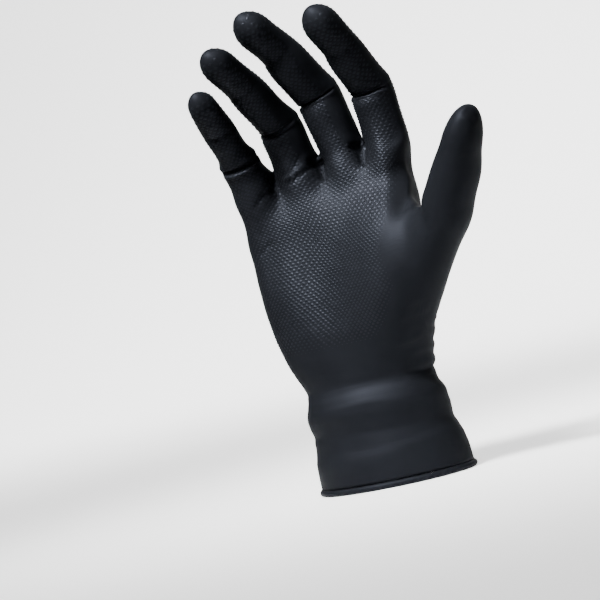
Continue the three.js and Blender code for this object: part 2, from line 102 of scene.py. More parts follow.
# Thumb rings: bone, share, width, depth, and how far the web side reaches along the thumb
thumbRings = [
    (2, 0.08, 1.0, 1.08, 0.55), (2, 0.38, 0.96, 1.0, 0.2), (2, 0.68, 0.91, 0.96, 0.05),
    (3, 0.0, 0.88, 0.95, 0), (3, 0.3, 0.74, 0.9, 0), (3, 0.6, 0.66, 0.82, 0), (3, 0.87, 0.42, 0.58, 0),
]

frontCount = 12
ringCount = 26
holeRows = (1, 4)
moundColumns = 7
# where the thumb lies on the flat form, clear of the palm, and how high its root is there
thumbFlat, thumbFlatUp = 130, 60
# stalls 1 to 4 are the fingers from index to little
thumbStall, thumbBaseStall = 5, 6
pathSteps = 200
passRounds = 8
moundRounds = 4


def smooth(value):
    share = np.clip(value, 0, 1)
    return share * share * (3 - 2 * share)


def fingerPath(finger):
    lean, turn = math.radians(finger["lean"]), math.radians(finger["turn"])
    along = Vector((math.sin(lean), 0, math.cos(lean)))
    palmward = Vector((-math.sin(turn), -math.cos(turn), 0))
    palmward = (palmward - along * palmward.dot(along)).normalized()
    lengths = [share * form["fingerLength"] for share in finger["bones"]]
    joints = [0, lengths[0], lengths[0] + lengths[1]]
    bends = [math.radians(bend) for bend in finger["bends"]]
    total = sum(lengths)

    def bendAt(distance):
        return sum(bend * float(smooth((distance - joint) / form["jointBendLength"] + 0.5))
                   for bend, joint in zip(bends, joints))

    points = [Vector((finger["across"] * form["palmBreadth"], finger["forward"] * form["palmDepth"],
                      form["cuffLength"] + finger["up"] * form["palmLength"]))]
    for step in range(pathSteps):
        bend = bendAt((step + 0.5) * total / pathSteps)
        points.append(points[-1] + (along * math.cos(bend) + palmward * math.sin(bend)) * (total / pathSteps))

    def frameAt(distance):
        place = min(pathSteps, max(0, distance / total * pathSteps))
        low = min(pathSteps - 1, int(place))
        bend = bendAt(distance)
        onward = along * math.cos(bend) + palmward * math.sin(bend)
        palmSide = palmward * math.cos(bend) - along * math.sin(bend)
        return points[low].lerp(points[low + 1], place - low), onward, palmSide, onward.cross(palmSide)

    return {"joints": joints, "lengths": lengths, "total": total, "frameAt": frameAt, "rootUp": points[0].z}


# Eight points round a finger with their place on the flat form: offset from its middle, height, facing
ringAngles = [45, 90, 135, 180, 225, 270, 315, 0]
webAngles = [30, 90, 150, 180, 210, 270, 330, 0]


def fingerRing(path, distance, width, dent, flatMiddle, angles=ringAngles):
    centre, onward, palmSide, across = path["frameAt"](distance)
    places, flats = [], []
    for angle in angles:
        turn = math.radians(angle)
        front = math.sin(turn) * width / 2 * form["fingerFlatness"]
        if front > 0.001:
            front -= dent * width * math.sin(turn)
        places.append(centre + across * (math.cos(turn) * width / 2) + palmSide * front)
        offset = 90 - angle if angle <= 180 else angle - 270
        flats.append(Vector((flatMiddle + math.radians(offset) * width / 2 * 0.965,
                             path["rootUp"] + distance, math.sin(turn))))
    return places, flats


def acrossShares(layout):
    shares = []
    for index in range(frontCount):
        byFinger = 0.03 + 0.94 * (index // 3 + (0.17, 0.5, 0.83)[index % 3]) / 4
        even = (1 - math.cos(math.pi * (index + 1) / (frontCount + 1))) / 2
        shares.append(even + (byFinger - even) * layout)
    return shares


def blendFront(share, ring):
    stops = (ring["thumbFront"], ring["hollow"], ring["ulnarFront"])
    places = (0.24, 0.55, 0.84)
    if share <= places[0]:
        return stops[0]
    if share >= places[2]:
        return stops[2]
    part = 0 if share < places[1] else 1
    local = float(smooth((share - places[part]) / (places[part + 1] - places[part])))
    return stops[part] + (stops[part + 1] - stops[part]) * local


def palmPoints(ring):
    shares = acrossShares(ring["layout"])

    def pointAt(share, depth):
        power = ring["fullness"] if depth < 0 and share < 0.5 else 2 + 0.6 * ring["layout"]
        bulge = max(0, 1 - abs(2 * share - 1) ** power) ** (1 / power)
        middle = ring["radialMiddle"] + (ring["ulnarMiddle"] - ring["radialMiddle"]) * share
        middle -= ring["mound"] * float(smooth(1.05 - share / ring["moundReach"])) * (depth <= 0)
        fall = ring["fall"] * share * share + ring["backFall"] * (1 if depth > 0 else 0.3)
        return Vector(((ring["radial"] + (ring["ulnar"] - ring["radial"]) * share) * form["palmBreadth"],
                       (middle + depth * bulge) * form["palmDepth"],
                       form["cuffLength"] + (ring["up"] - fall) * form["palmLength"]))

    front = [pointAt(share, -blendFront(share, ring)) for share in shares]
    back = [pointAt(share, ring["back"]) for share in reversed(shares)]
    return front + [pointAt(1, 0)] + back + [pointAt(0, 0)]


def trunkFlats(points):
    # distances round the section from the thumb side, in front and behind, unrolled about its middle
    def unroll(run):
        steps = [(after - before).length for before, after in zip(run, run[1:])]
        return np.concatenate([[0], np.cumsum(steps)])
    front = unroll([points[-1]] + points[:frontCount + 1])
    back = unroll(points[frontCount:])
    width = front[-1]
    flats = [None] * ringCount
    for index in range(frontCount + 1):
        facing = math.sin(math.pi * (index + 1) / (frontCount + 1))
        flats[index] = Vector((width / 2 - front[index + 1], points[index].z, min(1, 1.6 * facing)))
    for index in range(frontCount, ringCount):
        share = back[index - frontCount] / back[-1]
        facing = -math.sin(math.pi * (index - frontCount) / (frontCount + 1))
        flats[index] = Vector((width * (share - 0.5), points[index].z, max(-1, 1.6 * facing)))
    return flats


# The cage is grown ring by ring from the cuff, each ring an extrusion of the one below
cage = bmesh.new()
flatLayer = cage.verts.layers.float_vector.new("flat")
stallLayer = cage.faces.layers.int.new("stall")


def placeRing(verts, points, flats):
    for vert, point, flat in zip(verts, points, flats):
        vert.co = point
        vert[flatLayer] = flat


def extrudeRing(bm, verts):
    # the ring that grows out of this one, in the same order, and the faces between them
    edges = []
    for index, vert in enumerate(verts):
        after = verts[(index + 1) % len(verts)]
        edges.append(next(edge for edge in vert.link_edges if edge.other_vert(vert) is after))
    made = bmesh.ops.extrude_edge_only(bm, edges=edges)["geom"]
    fresh = {item for item in made if isinstance(item, bmesh.types.BMVert)}
    above = [next(edge.other_vert(vert) for edge in vert.link_edges if edge.other_vert(vert) in fresh)
             for vert in verts]
    return above, [item for item in made if isinstance(item, bmesh.types.BMFace)]


def growRing(verts, points, flats, stall=0):
    above, faces = extrudeRing(cage, verts)
    for face in faces:
        face[stallLayer] = stall
    placeRing(above, points, flats)
    return above


def halfway(lower, points, flats, share):
    return ([vert.co.lerp(point, share) for vert, point in zip(lower, points)],
            [vert[flatLayer].lerp(flat, share) for vert, flat in zip(lower, flats)])


def closeTip(verts, centre, stall):
    face = bmesh.ops.contextual_create(cage, geom=verts)["faces"][0]
    face[stallLayer] = stall
    middle = sum((vert[flatLayer] for vert in verts), Vector()) / len(verts)
    tip = bmesh.ops.poke(cage, faces=[face])["verts"][0]
    tip.co = centre
    tip[flatLayer] = Vector((middle.x, max(vert[flatLayer].y for vert in verts) + 3, 0))
    odd = set(verts[1::2])
    spokes = [edge for edge in tip.link_edges if edge.other_vert(tip) in odd]
    bmesh.ops.dissolve_edges(cage, edges=spokes)


wristPoints = palmPoints(palmRings[0])
wristCentre = Vector(((palmRings[0]["radial"] + palmRings[0]["ulnar"]) / 2 * form["palmBreadth"],
                      palmRings[0]["radialMiddle"] * form["palmDepth"], 0))
wristAngles = [math.atan2(wristCentre.y - point.y, point.x - wristCentre.x) for point in wristPoints]
trunkPoints = []
for up, wrist, ripple in cuffRings:
    halfBreadth = (form["openingBreadth"] + (form["wristBreadth"] - form["openingBreadth"]) * wrist) / 2
    halfDepth = (form["openingDepth"] + (form["wristDepth"] - form["openingDepth"]) * wrist) / 2
    swell = ripple * form["beadDiameter"]
    trunkPoints.append([Vector((wristCentre.x * wrist + math.cos(angle) * (halfBreadth + swell),
                                wristCentre.y * wrist - math.sin(angle) * (halfDepth + swell),
                                up * form["cuffLength"])) for angle in wristAngles])
trunkPoints += [palmPoints(ring) for ring in palmRings]

firstRing = bmesh.ops.create_circle(cage, segments=ringCount, radius=1, cap_ends=False)["verts"]
placeRing(firstRing, trunkPoints[0], trunkFlats(trunkPoints[0]))
trunk = [firstRing]
for points in trunkPoints[1:]:
    trunk.append(growRing(trunk[-1], points, trunkFlats(points)))

# Finger roots: the last ring of the trunk, whose points the webs and the stalls share
topRing = trunk[-1]
webPoints, webFlats = [None] * ringCount, [None] * ringCount
roots = []
for order, finger in enumerate(fingers):
    path = fingerPath(finger)
    web = finger["web"] * form["fingerLength"]
    flatMiddle = topRing[order * 3 + 1][flatLayer].x
    width = finger["girths"]["root"] * form["fingerWidth"]
    angles = webAngles[:]
    if order == 0:
        angles[0], angles[6] = ringAngles[0], ringAngles[6]
    if order == len(fingers) - 1:
        angles[2], angles[4] = ringAngles[2], ringAngles[4]
    points, flats = fingerRing(path, web, width, 0, flatMiddle, angles)
    centre, onward = path["frameAt"](web)[:2]
    for index, drop in enumerate((0.9, 0.5, 0.9, 0.4, 1.3, 1.3, 1.3, 0.4)):
        points[index] -= onward * (drop * form["webDrop"])
        flats[index].y -= drop * form["webDrop"]
    roots.append({"finger": finger, "path": path, "points": points, "flats": flats,
                  "flatMiddle": flatMiddle, "web": web, "centre": centre})
# the facing sides of neighbours come together at the web
for near, far in zip(roots, roots[1:]):
    middle = (near["points"][3] + far["points"][7]) / 2
    apart = near["centre"] - far["centre"]
    apart.z = 0
    apart = apart.normalized() * form["webGap"] / 2
    near["points"][3], far["points"][7] = middle + apart, middle - apart
for order, root in enumerate(roots):
    points, flats, front = root["points"], root["flats"], order * 3
    for index in range(3):
        webPoints[front + index], webFlats[front + index] = points[index], flats[index]
        behind = ringCount - 2 - front - index
        webPoints[behind], webFlats[behind] = points[6 - index], flats[6 - index]
    if order == 0:
        webPoints[ringCount - 1], webFlats[ringCount - 1] = points[7], flats[7]
    if order == len(fingers) - 1:
        webPoints[frontCount], webFlats[frontCount] = points[3], flats[3]

knuckleRings = []
for share in (0.4, 0.74):
    knucklePoints, knuckleFlats = halfway(topRing, webPoints, webFlats, share)
    for index in range(frontCount):
        if index % 3 == 1:
            knucklePoints[frontCount + 1 + index].y += form["knuckleRise"]
    knuckleRings.append(growRing((knuckleRings or [topRing])[-1], knucklePoints, knuckleFlats))
webRing = growRing(knuckleRings[-1], webPoints, webFlats)

# Webs: a strip of two faces between neighbouring fingers
for order, root in enumerate(roots):
    front, behind = order * 3, ringCount - 2 - order * 3
    root["ring"] = [webRing[front], webRing[front + 1], webRing[front + 2], None,
                    webRing[behind - 2], webRing[behind - 1], webRing[behind], None]
roots[0]["ring"][7] = webRing[ringCount - 1]
roots[-1]["ring"][3] = webRing[frontCount]
for near, far in zip(roots, roots[1:]):
    front = [near["ring"][2], far["ring"][0]]
    edge = next(edge for edge in front[0].link_edges if edge.other_vert(front[0]) == front[1])
    made = bmesh.ops.extrude_edge_only(cage, edges=[edge])["geom"]
    fresh = {item for item in made if isinstance(item, bmesh.types.BMVert)}
    for vert, root, corner in ((front[0], near, 3), (front[1], far, 7)):
        side = next(edge.other_vert(vert) for edge in vert.link_edges if edge.other_vert(vert) in fresh)
        placeRing([side], [root["points"][corner]], [root["flats"][corner]])
        root["ring"][corner] = side
    behind = [near["ring"][3], far["ring"][7], far["ring"][6], near["ring"][4]]
    bmesh.ops.contextual_create(cage, geom=behind)

# Finger stalls
for order, root in enumerate(roots):
    finger, path, below = root["finger"], root["path"], root["ring"]
    for bone, share, past, girth, dent in fingerRings:
        start = root["web"] if bone == 1 else path["joints"][bone - 1]
        distance = start + share * (path["joints"][bone - 1] + path["lengths"][bone - 1] - start) + past
        width = finger["girths"][girth] * form["fingerWidth"]
        points, flats = fingerRing(path, distance, width, dent, root["flatMiddle"])
        below = growRing(below, points, flats, order + 1)
    closeTip(below, path["frameAt"](path["total"])[0], order + 1)

# Thumb stall: its first ring is the rim of the opening left in the thumb side of the palm
cuffCount = len(cuffRings)
rows = trunk[cuffCount + holeRows[0]:cuffCount + holeRows[1] + 1]
thumbRim = ([row[0] for row in rows] + [rows[-1][ringCount - 1]]
            + [row[ringCount - 2] for row in reversed(rows)] + [rows[0][ringCount - 1]])
inHole = {vert for row in rows for vert in row[-2:] + row[:1]}
covered = [face for face in cage.faces if inHole.issuperset(face.verts)]
bmesh.ops.delete(cage, geom=covered, context="FACES")

thumbJoints = [Vector((thumbRoot["across"] * form["palmBreadth"], -thumbRoot["forward"] * form["palmDepth"],
                       form["cuffLength"] + thumbRoot["up"] * form["palmLength"]))]
thumbAlong = []
for share, outward, forward in thumbBones:
    outward, forward = math.radians(outward), math.radians(forward)
    thumbAlong.append(Vector((math.sin(outward) * math.cos(forward), -math.sin(forward),
                              math.cos(outward) * math.cos(forward))))
    thumbJoints.append(thumbJoints[-1] + thumbAlong[-1] * (share * form["thumbLength"]))
below, thumbBase, thumbStart = thumbRim, None, None
for bone, share, width, depth, reach in thumbRings:
    centre = thumbJoints[bone - 1].lerp(thumbJoints[bone], share)
    onward = thumbAlong[max(0, bone - 2)].lerp(thumbAlong[bone - 1], min(1, 0.5 + share)).normalized()
    palmward = Vector((0, -1, 0))
    palmward = (palmward + onward * onward.y).normalized()
    webward = -onward.cross(palmward)
    travelled = (sum(item[0] for item in thumbBones[:bone - 1]) + share * thumbBones[bone - 1][0])
    points, flats = [], []
    for step in range(len(thumbRim)):
        degrees = 144 - 36 * step
        angle = math.radians(degrees)
        tipped = (1 + math.cos(angle)) / 2 * reach * form["thumbWidth"]
        points.append(centre + webward * (math.cos(angle) * width * form["thumbWidth"] / 2)
                      + palmward * (math.sin(angle) * depth * form["thumbWidth"] / 2) + onward * tipped)
        offset = 90 - degrees if degrees >= 0 else 90 + degrees
        flats.append(Vector((thumbFlat - math.radians(offset) * width * form["thumbWidth"] / 2,
                             thumbFlatUp + travelled * form["thumbLength"] + tipped, math.sin(angle))))
    if thumbBase is None:
        thumbBase = growRing(thumbRim, *halfway(thumbRim, points, flats, 0.5), thumbBaseStall)
        below = thumbBase
    below = growRing(below, points, flats, thumbStall)
    thumbStart = thumbStart or below
closeTip(below, thumbJoints[3], thumbStall)


def relax(verts, rounds):
    for turn in range(rounds):
        moved = []
        for vert in verts:
            near = [edge.other_vert(vert).co for edge in vert.link_edges]
            moved.append((sum(near, Vector()) / len(near)).lerp(vert.co, 0.5))
        for vert, place in zip(verts, moved):
            vert.co = place


mound = [vert for row in rows for vert in row[:moundColumns]]
relax(mound + [vert for vert in thumbRim if vert not in mound] + thumbBase + thumbStart, moundRounds)
relax(knuckleRings[0], 1)
bmesh.ops.recalc_face_normals(cage, faces=cage.faces[:])
cage.verts.index_update()


def limitOf(places):
    # where each cage point comes to lie on the smooth surface
    limits = np.empty_like(places)
    for vert in cage.verts:
        here = places[vert.index]
        rim = [edge.other_vert(vert).index for edge in vert.link_edges if edge.is_boundary]
        if rim:
            limits[vert.index] = (4 * here + places[rim].sum(0)) / 6
            continue
        count = len(vert.link_edges)
        near = places[[edge.other_vert(vert).index for edge in vert.link_edges]].sum(0)
        corners = []
        for loop in vert.link_loops:
            corners.append(loop.link_loop_next.link_loop_next.vert.index)
        limits[vert.index] = ((count * count * here + 4 * near + places[corners].sum(0))
                              / (count * (count + 5)))
    return limits


wanted = np.array([vert.co[:] for vert in cage.verts])
places = wanted.copy()
for turn in range(passRounds):
    places += wanted - limitOf(places)
for vert in cage.verts:
    vert.co = places[vert.index]
print("cage", len(cage.faces), "faces")


def subdivided(bm, levels):
    # the cage as a dense mesh, made by the Subdivision modifier
    mesh = bpy.data.meshes.new("dense")
    bm.to_mesh(mesh)
    holder = bpy.data.objects.new("dense", mesh)
    bpy.context.scene.collection.objects.link(holder)
    modifier = holder.modifiers.new("smooth", "SUBSURF")
    modifier.levels = modifier.render_levels = levels
    dense = bpy.data.meshes.new_from_object(holder.evaluated_get(bpy.context.evaluated_depsgraph_get()))
    bpy.data.objects.remove(holder)
    bpy.data.meshes.remove(mesh)
    return dense


def coordinates(mesh):
    flat = np.empty(len(mesh.vertices) * 3)
    mesh.vertices.foreach_get("co", flat)
    return flat.reshape(-1, 3)


def normalsOf(mesh):
    flat = np.empty(len(mesh.vertices) * 3)
    mesh.vertex_normals.foreach_get("vector", flat)
    return flat.reshape(-1, 3)


filmLevels, insideLevels = 3, 1
outer = subdivided(cage, filmLevels)
inner = subdivided(cage, insideLevels)
flatCage = cage.copy()
flatCageLayer = flatCage.verts.layers.float_vector["flat"]
for vert in flatCage.verts:
    vert.co = vert[flatCageLayer]
flatMesh = subdivided(flatCage, filmLevels)
flatCage.free()
surface = coordinates(outer)
normals = normalsOf(outer)
flat = coordinates(flatMesh)
stalls = np.empty(len(outer.polygons), int)
outer.attributes["stall"].data.foreach_get("value", stalls)
print("film", len(surface), "points", surface.min(0).round(1), surface.max(0).round(1))

# Folds and creases, each a line on the flat form from one end to the other, in millimetres.
# Negative height is a groove, positive a ridge
foldNames = ("stall", "fromAcross", "fromUp", "toAcross", "toUp", "bow", "width", "height")
folds = [dict(zip(foldNames, row)) for row in [
    # valleys running down from the webs
    (0, 20.6, 155.0, 22.0, 141.0, 0, 1.3, -1.9),
    (0, 0.3, 153.0, 2.5, 139.5, 0, 1.3, -1.9),
    (0, -20.7, 149.5, -22.0, 139.0, 0, 1.3, -1.6),
    # pinched folds at the foot of the ring finger, and the small one beside the little finger
    (0, 1.5, 155.0, -15.5, 144.5, 3.0, 0.9, 0.75),
    (0, 2.5, 153.0, -14.5, 142.0, 3.0, 0.9, -0.6),
    (0, 0.0, 157.0, -16.5, 147.5, 3.0, 0.9, -0.5),
    (0, -19.0, 151.0, -25.5, 139.0, 0.4, 0.8, 0.55),
    (0, -21.5, 143.0, -33.5, 136.0, 0.5, 1.0, -0.55),
    # stretch lines fanned under the webs
    (0, 2.5, 152.0, 9.0, 147.5, 0, 0.5, -0.3),
    (0, 3.0, 149.0, 10.0, 143.0, 0, 0.5, -0.28),
    (0, 2.8, 147.0, 7.5, 138.5, 0, 0.5, -0.25),
    (0, 23.0, 150.0, 30.0, 145.5, 0, 0.5, -0.22),
    # short crease of the palm
    (0, -40.0, 111.0, -28.0, 117.0, 0.4, 0.8, -0.5),
    # the edge of the nail and the wrinkles across the thumb
    (5, 129.5, 170.0, 138.0, 167.0, 0.6, 1.1, -0.55),
    (5, 126.0, 160.0, 139.0, 158.5, 0.5, 0.5, -0.22),
    (5, 128.0, 157.5, 141.0, 156.0, 0.5, 0.5, -0.24),
    (5, 125.0, 155.0, 138.0, 153.0, 0.5, 0.5, -0.2),
    (5, 129.0, 131.0, 144.0, 129.0, 0.7, 0.6, -0.3),
    (5, 127.0, 128.0, 142.0, 125.5, 0.7, 0.6, -0.26),
]]
# Bunched film that goes round the thumb side of the wrist, in front and behind
wristFolds = [dict(zip(foldNames, row)) for row in [
    (0, 60.0, 76.0, 29.0, 71.5, 0.8, 1.3, -0.7),
    (0, 62.0, 71.5, 22.0, 66.0, 0.9, 1.3, -0.9),
    (0, 58.0, 66.5, 27.0, 62.5, 0.8, 1.2, -0.8),
    (0, 60.0, 62.0, 19.0, 57.0, 0.9, 1.3, -0.9),
    (0, 56.0, 57.0, 25.0, 53.0, 0.8, 1.2, -0.8),
    (0, 58.0, 52.0, 20.0, 47.5, 0.9, 1.3, -0.8),
]]
# Creases at the middle joints: millimetres above the joint, tilt, and the strength of a second one above
jointCreases = [(0.8, 0.0, 0.7), (1.0, 0.11, 0.2), (3.6, 0.08, 0.35), (-0.3, -0.12, 0.1)]
film = {"wall": 0.8, "creaseDepth": 1.15, "creaseWidth": 1.15, "creaseLip": 0.32, "creaseBow": 0.012,
        "secondCrease": 2.9, "lipPlace": 2.2, "endCrease": 0.3, "cuffWrinkle": 0.8, "coarseShare": 0.65,
        "wrinkleFoot": 5, "wrinkleTop": 72, "wander": 0.22, "wanderSize": 0.09, "insideReach": 6,
        "thumbFold": {"from": 32, "run": 12, "to": 62, "edge": 111, "rise": 0.42, "soft": 7, "top": 148,
                      "depth": 3.0}}

quads = np.empty(len(outer.loops), int)
outer.loops.foreach_get("vertex_index", quads)
quads = quads.reshape(-1, 4)
pointStall = np.zeros(len(surface), int)
for stall in range(1, thumbStall + 1):
    pointStall[quads[stalls == stall].ravel()] = stall
across, up, facing = flat.T


def bell(distance, width):
    return np.exp(-(distance / width) ** 2)


def noiseAt(points, scale, offset=0):
    return np.array([noise.noise(Vector(point) * scale + Vector((offset, 0, 0))) for point in points])


def foldHeight(fold, allRound=False):
    start = np.array([fold["fromAcross"], fold["fromUp"]])
    run = np.array([fold["toAcross"], fold["toUp"]]) - start
    length = np.hypot(*run)
    run /= length
    away = flat[:, :2] - start
    along = away @ run / length
    aside = away[:, 0] * run[1] - away[:, 1] * run[0]
    aside = aside + fold["bow"] * 4 * along * (1 - along)
    ends = smooth(along / 0.2) * smooth((1 - along) / 0.2)
    mine = (pointStall == fold["stall"]) | (fold["stall"] == 0) & (pointStall < thumbStall)
    side = 1 if allRound else smooth(facing / 0.12)
    return fold["height"] * bell(aside, fold["width"]) * ends * mine * side


height = np.zeros(len(surface))
for order, root in enumerate(roots):
    mine = pointStall == order + 1
    joints = [root["path"]["rootUp"] + joint for joint in root["path"]["joints"]]
    aside = across - root["flatMiddle"]
    palmFace = smooth((facing - 0.02) / 0.45)
    lift, tilt, second = jointCreases[order]
    width = film["creaseWidth"]
    for joint, depth in ((joints[1] + lift, film["creaseDepth"]),
                         (joints[1] + lift + film["secondCrease"], second * film["creaseDepth"]),
                         (joints[2], film["endCrease"])):
        gap = up - joint - tilt * aside + film["creaseBow"] * aside ** 2
        lip = film["creaseLip"] * depth * bell(gap + film["lipPlace"] * width, width)
        height += mine * palmFace * (lip - depth * bell(gap, width))
for fold in folds:
    height += foldHeight(fold)
for fold in wristFolds:
    height += foldHeight(fold, True)

# The side of the index finger runs down behind the fold that the thumb draws up
pit = film["thumbFold"]
height -= (pit["depth"] * smooth((across - pit["from"]) / pit["run"]) * (pointStall == 0)
           * smooth((up - pit["edge"] - pit["rise"] * (across - pit["from"])) / pit["soft"])
           * smooth((pit["top"] - up) / 14) * smooth((pit["to"] - across) / 6) * smooth(facing / 0.6 + 1))

# Bunched film round the wrist and the cuff: wrinkles that run round and die out
cuffPlace = surface * np.array([0.02, 0.02, 0.16])
fineShare = 1 - film["coarseShare"]
wrinkle = noiseAt(cuffPlace, 1) * film["coarseShare"] + noiseAt(cuffPlace, 2.3, 40) * fineShare
height += (film["cuffWrinkle"] * wrinkle * smooth((up - film["wrinkleFoot"]) / 12)
           * smooth((film["wrinkleTop"] - up) / 30) * (pointStall == 0))
# The film wanders a little off the hand everywhere
height += film["wander"] * noiseAt(surface, film["wanderSize"], 90) * smooth((up - 4) / 10)

sculpted = surface + normals * height[:, None]
outer.vertices.foreach_set("co", sculpted.ravel())
outer.update()
normals = normalsOf(outer)


def finish(piece, mesh, *materials):
    # from millimetres to metres, smooth, on the one body and with the record's finish
    mesh.transform(Matrix.Scale(mm, 4))
    mesh.shade_smooth()
    mesh.materials.clear()
    for item in materials:
        mesh.materials.append(item)
    holder = bpy.data.objects.new(piece, mesh)
    mesh.name = piece
    bpy.context.scene.collection.objects.link(holder)
    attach(holder, "root")
    return holder


# Node groups shared by the materials
def nodeGroup(name, inputs, outputs):
    group = bpy.data.node_groups.new(name, "ShaderNodeTree")
    for label, kind, value in inputs:
        socket = group.interface.new_socket(label, in_out="INPUT", socket_type=kind)
        if value is not None:
            socket.default_value = value
    for label, kind in outputs:
        group.interface.new_socket(label, in_out="OUTPUT", socket_type=kind)
    start = group.nodes.new("NodeGroupInput")
    end = group.nodes.new("NodeGroupOutput")
    return group, start, end


def joined(tree, pairs):
    for output, socket in pairs:
        tree.links.new(output, socket)


def noiseNode(tree, scale, detail):
    node = tree.nodes.new("ShaderNodeTexNoise")
    for label, value in (("Scale", scale), ("Detail", detail), ("Roughness", 0.55)):
        node.inputs[label].default_value = value
    return node


# Cloudy tone of dipped film: a colour that drifts between two, and a roughness that drifts with it
filmTone, start, end = nodeGroup(
    "filmTone",
    [("Position", "NodeSocketVector", None), ("Dark", "NodeSocketColor", (0.02, 0.022, 0.027, 1)),
     ("Light", "NodeSocketColor", (0.035, 0.038, 0.047, 1)), ("Smoothest", "NodeSocketFloat", 0.36),
     ("Roughest", "NodeSocketFloat", 0.5)],
    [("Color", "NodeSocketColor"), ("Roughness", "NodeSocketFloat")])
clouds = noiseNode(filmTone, 55, 3)
spots = noiseNode(filmTone, 700, 2)
mixColor = filmTone.nodes.new("ShaderNodeMix")
mixColor.data_type = "RGBA"
mixRough = filmTone.nodes.new("ShaderNodeMix")
joined(filmTone, [
    (start.outputs["Position"], clouds.inputs["Vector"]), (start.outputs["Position"], spots.inputs["Vector"]),
    (clouds.outputs["Fac"], mixColor.inputs["Factor"]), (start.outputs["Dark"], mixColor.inputs["A"]),
    (start.outputs["Light"], mixColor.inputs["B"]), (spots.outputs["Fac"], mixRough.inputs["Factor"]),
    (start.outputs["Smoothest"], mixRough.inputs["A"]), (start.outputs["Roughest"], mixRough.inputs["B"]),
    (mixColor.outputs["Result"], end.inputs["Color"]), (mixRough.outputs["Result"], end.inputs["Roughness"])])

# Fine relief of stretched film: grain all over and faint creases across the glove
filmRelief, start, end = nodeGroup(
    "filmRelief",
    [("Position", "NodeSocketVector", None), ("Former", "NodeSocketVector", None),
     ("Grain", "NodeSocketFloat", 0.12), ("Creases", "NodeSocketFloat", 0.3)],
    [("Normal", "NodeSocketVector")])
grain = noiseNode(filmRelief, 2600, 2)
stretch = filmRelief.nodes.new("ShaderNodeMapping")
stretch.inputs["Scale"].default_value = (60, 900, 1)
lines = noiseNode(filmRelief, 1, 3)
grainBump = filmRelief.nodes.new("ShaderNodeBump")
grainBump.inputs["Distance"].default_value = 0.00004
lineBump = filmRelief.nodes.new("ShaderNodeBump")
lineBump.inputs["Distance"].default_value = 0.0002
joined(filmRelief, [
    (start.outputs["Position"], grain.inputs["Vector"]),
    (start.outputs["Former"], stretch.inputs["Vector"]),
    (stretch.outputs["Vector"], lines.inputs["Vector"]),
    (start.outputs["Grain"], grainBump.inputs["Strength"]),
    (grain.outputs["Fac"], grainBump.inputs["Height"]),
    (start.outputs["Creases"], lineBump.inputs["Strength"]),
    (lines.outputs["Fac"], lineBump.inputs["Height"]),
    (grainBump.outputs["Normal"], lineBump.inputs["Normal"]),
    (lineBump.outputs["Normal"], end.inputs["Normal"])])


def nitrile(name, look):
    material = bpy.data.materials.new(name)
    material.use_nodes = True
    tree = material.node_tree
    shader = tree.nodes["Principled BSDF"]
    shader.inputs["IOR"].default_value = look["ior"]
    shader.inputs["Specular IOR Level"].default_value = look["specular"]
    shader.inputs["Specular Tint"].default_value = (*look["tint"], 1)
    place = tree.nodes.new("ShaderNodeTexCoord")
    former = tree.nodes.new("ShaderNodeUVMap")
    former.uv_map = "former"
    tone = tree.nodes.new("ShaderNodeGroup")
    tone.node_tree = filmTone
    relief = tree.nodes.new("ShaderNodeGroup")
    relief.node_tree = filmRelief
    for label in ("Dark", "Light"):
        tone.inputs[label].default_value = (*look[label.lower()], 1)
    for label in ("Smoothest", "Roughest"):
        tone.inputs[label].default_value = look[label.lower()]
    for label in ("Grain", "Creases"):
        relief.inputs[label].default_value = look[label.lower()]
    joined(tree, [
        (place.outputs["Object"], tone.inputs["Position"]),
        (place.outputs["Object"], relief.inputs["Position"]),
        (former.outputs["UV"], relief.inputs["Former"]),
        (tone.outputs["Color"], shader.inputs["Base Color"]),
        (tone.outputs["Roughness"], shader.inputs["Roughness"]),
        (relief.outputs["Normal"], shader.inputs["Normal"])])
    return material


filmLook = {"dark": (0.004, 0.0044, 0.0055), "light": (0.007, 0.0077, 0.0096), "smoothest": 0.56,
            "roughest": 0.64, "specular": 0.1, "ior": 1.52, "tint": (0.72, 0.79, 1), "grain": 0.12,
            "creases": 0.25}
insideLook = {**filmLook, "smoothest": 0.5, "roughest": 0.6, "creases": 0.1}
gripLook = {**filmLook, "smoothest": 0.44, "roughest": 0.52, "specular": 0.19, "creases": 0.0}
filmMaterial = nitrile("nitrile_film", filmLook)
insideMaterial = nitrile("nitrile_inside", insideLook)
gripMaterial = nitrile("nitrile_grip", gripLook)
print("materials made")

# Film: the outer skin, a coarser inner skin one wall inside it, and a bridge between them at the cuff
filmMesh = bmesh.new()
filmMesh.from_mesh(outer)
uvLayer = filmMesh.loops.layers.uv.new("former")
for face in filmMesh.faces:
    for loop in face.loops:
        loop[uvLayer].uv = flat[loop.vert.index, :2] * mm
# the inner skin gives way wherever a groove of the outer one comes near it
nearby = KDTree(len(surface))
for index, point in enumerate(surface):
    nearby.insert(point, index)
nearby.balance()


def lowestNear(point):
    found = nearby.find_range(point, film["insideReach"])
    return min(0, min((height[index] for _, index, _ in found), default=0))


